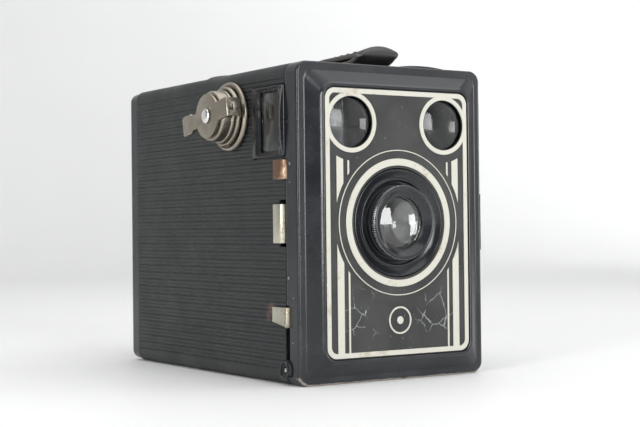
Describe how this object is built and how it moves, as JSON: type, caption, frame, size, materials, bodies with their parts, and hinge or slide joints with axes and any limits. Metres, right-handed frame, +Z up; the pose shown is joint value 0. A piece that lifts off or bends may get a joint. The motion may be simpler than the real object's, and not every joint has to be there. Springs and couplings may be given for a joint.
{
  "type": "box camera",
  "caption": "Upright metal box camera for roll film with a hinged front door, lens in a ringed faceplate, side finger tabs, pull-out winding key, two mirror finders and a leather strap.",
  "frame": {"origin": "middle of the bottom face of the case, on the surface it stands on", "axes": "+X to the right seen from the front, +Y from the front to the back along the lens axis, +Z up"},
  "size_m": [0.0891, 0.1327, 0.114],
  "materials": {
    "black_paint": "gloss black stoved paint, worn at the edges",
    "covering": "black ribbed leatherette, satin",
    "black_enamel": "black enamel with raised bright metal lines, crazed",
    "nickel": "nickel plated, slightly dulled",
    "brass": "worn brass",
    "steel": "bright steel",
    "spring_steel": "dark spring steel",
    "glass": "clear polished glass",
    "filter": "yellow dyed filter",
    "red_window": "deep red transparent celluloid",
    "mirror": "silvered glass",
    "leather": "black harness leather, creased"
  },
  "bodies": {
    "case": {"outer_case": "black_paint", "side_covering": "covering", "back_covering": "covering", "red_window_ring": "black_paint", "red_window_pane": "red_window", "pressure_plate": "black_paint", "pressure_spring": "spring_steel", "side_finder_frame": "black_paint", "side_finder_window": "glass", "side_finder_housing": "black_paint", "side_finder_mirror": "mirror", "top_finder_frame": "black_paint", "top_finder_window": "glass", "top_finder_housing": "black_paint", "top_finder_mirror": "mirror", "light_cone": "black_paint", "carrier_plate_left": "steel", "carrier_plate_right": "steel", "take_up_stud": "steel", "supply_stud_left": "steel", "supply_stud_right": "steel", "key_flange": "nickel", "carry_strap": "leather", "strap_stud_front": "nickel", "strap_stud_rear": "nickel", "hinge_leaf_case": "black_paint", "hinge_pin": "steel", "catch_stud": "steel"},
    "door": {"door_panel": "black_paint", "faceplate": "black_enamel", "lens_dish": "black_paint", "lens_ring": "black_paint", "lens_element": "glass", "lens_barrel": "black_paint", "side_finder_lens": "glass", "top_finder_lens": "glass", "shutter_board": "black_paint", "shutter_pivot": "steel", "lever_pivot": "steel", "slide_bridge": "black_paint", "hinge_leaf_door": "black_paint", "door_catch": "black_paint"},
    "release_lever": {"release_lever": "nickel", "release_spring": "spring_steel"},
    "shutter_disc": {"shutter_disc": "spring_steel"},
    "aperture_slide": {"aperture_slide": "nickel", "yellow_filter": "filter"},
    "time_selector": {"time_selector": "brass"},
    "key_bush": {"key_bush": "nickel"},
    "key": {"key_drum": "nickel", "key_plate": "nickel", "key_shaft": "steel", "key_rivet": "nickel"},
    "take_up_spool": {"take_up_spool": "black_paint"},
    "film_roller_top": {"film_roller_top": "nickel"},
    "film_roller_bottom": {"film_roller_bottom": "nickel"}
  },
  "joints": [
    {"name": "door_hinge", "type": "hinge", "parent": "case", "child": "door", "pos_m": [0.0392, -0.0554, 0.0525], "axis": [0, 0, 1], "range_deg": [0, 100]},
    {"name": "release_press", "type": "hinge", "parent": "door", "child": "release_lever", "pos_m": [0.0035, -0.0569, 0.01777], "axis": [0, -1, 0], "range_deg": [0, 11.9], "stiffness_Nm_per_rad": 0.1, "springref_deg": -5.73},
    {"name": "shutter_swing", "type": "hinge", "parent": "door", "child": "shutter_disc", "pos_m": [0.006, -0.0579, 0.04097], "axis": [0, -1, 0], "range_deg": [0, 97]},
    {"name": "aperture_pull", "type": "slide", "parent": "door", "child": "aperture_slide", "axis": [-1, 0, 0], "range_m": [0, 0.018]},
    {"name": "selector_pull", "type": "slide", "parent": "door", "child": "time_selector", "axis": [-1, 0, 0], "range_m": [0, 0.004]},
    {"name": "key_turn", "type": "hinge", "parent": "case", "child": "key_bush", "pos_m": [0, -0.0204, 0.0896], "axis": [1, 0, 0], "continuous": true},
    {"name": "key_pull", "type": "slide", "parent": "key_bush", "child": "key", "axis": [-1, 0, 0], "range_m": [0, 0.007]},
    {"name": "spool_turn", "type": "hinge", "parent": "case", "child": "take_up_spool", "pos_m": [0, -0.0204, 0.0896], "axis": [1, 0, 0], "continuous": true},
    {"name": "roller_top_turn", "type": "hinge", "parent": "case", "child": "film_roller_top", "pos_m": [0, 0.0498, 0.0997], "axis": [1, 0, 0], "continuous": true},
    {"name": "roller_bottom_turn", "type": "hinge", "parent": "case", "child": "film_roller_bottom", "pos_m": [0, 0.0498, 0.0053], "axis": [1, 0, 0], "continuous": true}
  ],
  "couplings": [
    {"joint": "shutter_swing", "follows": "release_press", "ratio": 8.067},
    {"joint": "spool_turn", "follows": "key_turn", "ratio": 1}
  ]
}
